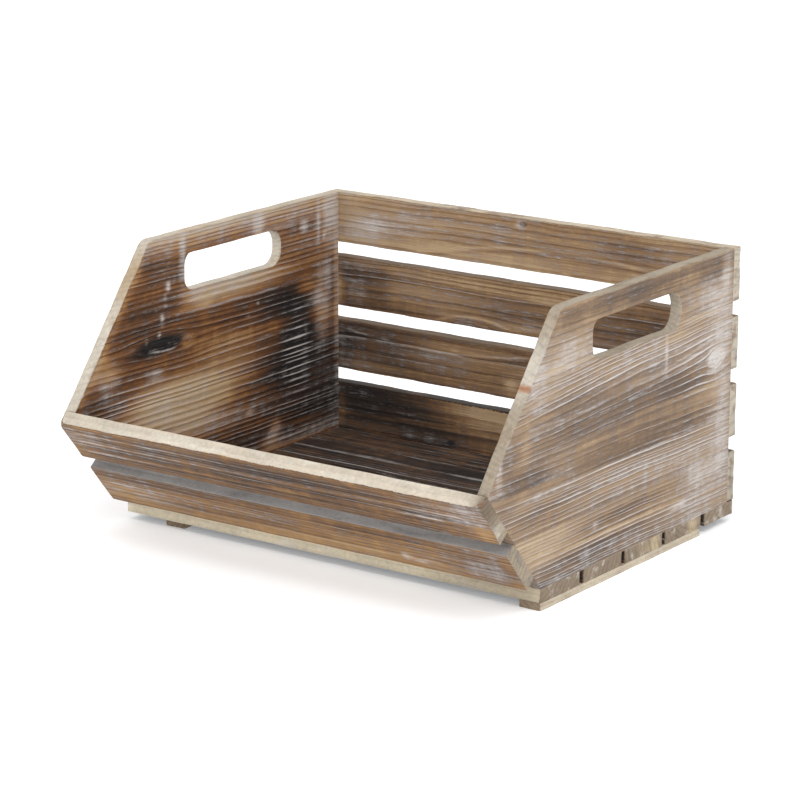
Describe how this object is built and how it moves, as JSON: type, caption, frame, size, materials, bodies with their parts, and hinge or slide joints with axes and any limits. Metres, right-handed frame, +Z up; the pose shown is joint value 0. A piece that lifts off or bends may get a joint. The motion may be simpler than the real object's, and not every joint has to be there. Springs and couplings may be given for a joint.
{
  "type": "apple crate",
  "caption": "Slatted softwood fruit crate with solid sides, sloping open front and oval hand holes, scorched and limewashed.",
  "frame": {"origin": "on the ground, in the middle of the crate's width and of its overall depth", "axes": "+X to the crate's right seen from the front, +Y to its back, +Z up"},
  "size_m": [0.4, 0.3666, 0.2272],
  "materials": {
    "side_panel_wood": "scorched, brushed and limewashed softwood, matt",
    "back_slat_wood": "scorched, brushed and limewashed softwood, matt",
    "front_slat_wood": "scorched, brushed and limewashed softwood, matt",
    "floor_slat_wood": "scorched, brushed and limewashed softwood, matt",
    "runner_wood": "limewashed softwood, matt",
    "brad_steel": "dulled steel wire"
  },
  "bodies": {
    "root": {"back_brads": "brad_steel", "back_slat_bottom": "back_slat_wood", "back_slat_lower": "back_slat_wood", "back_slat_top": "back_slat_wood", "back_slat_upper": "back_slat_wood", "floor_brads": "brad_steel", "floor_slat_fourth": "floor_slat_wood", "floor_slat_front": "floor_slat_wood", "floor_slat_rear": "floor_slat_wood", "floor_slat_second": "floor_slat_wood", "floor_slat_third": "floor_slat_wood", "front_brads": "brad_steel", "front_slat_lower": "front_slat_wood", "front_slat_upper": "front_slat_wood", "runner_brads": "brad_steel", "runner_left": "runner_wood", "runner_right": "runner_wood", "side_panel_left": "side_panel_wood", "side_panel_right": "side_panel_wood"}
  },
  "joints": []
}
